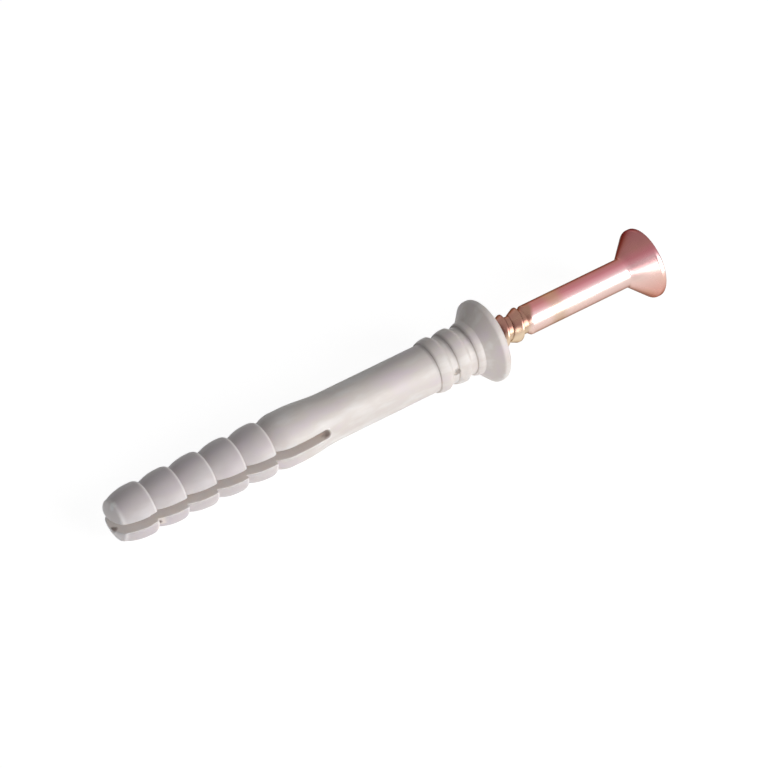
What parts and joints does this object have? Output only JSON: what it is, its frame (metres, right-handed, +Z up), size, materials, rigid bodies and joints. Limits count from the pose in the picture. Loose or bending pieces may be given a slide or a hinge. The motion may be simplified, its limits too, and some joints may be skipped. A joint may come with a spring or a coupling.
{
  "type": "hammer-in wall plug with countersunk nail screw",
  "caption": "Pale nylon wall plug with a slit, barbed tip and a countersunk collar, holding a part-driven steel nail screw with a cross recess.",
  "frame": {"origin": "middle of the part on the surface it lies on, at the bottom of its bounding box", "axes": "+Z up, +X along the plug from the tip of the sleeve to the nail's head"},
  "size_m": [0.0886, 0.0122, 0.0124],
  "materials": {
    "nylon": "moulded nylon, pale warm grey, soft sheen",
    "plated_steel": "zinc plated and yellow passivated steel with a rose and gold tint"
  },
  "bodies": {
    "root": {"sleeve": "nylon", "nail_screw": "plated_steel"}
  },
  "joints": []
}
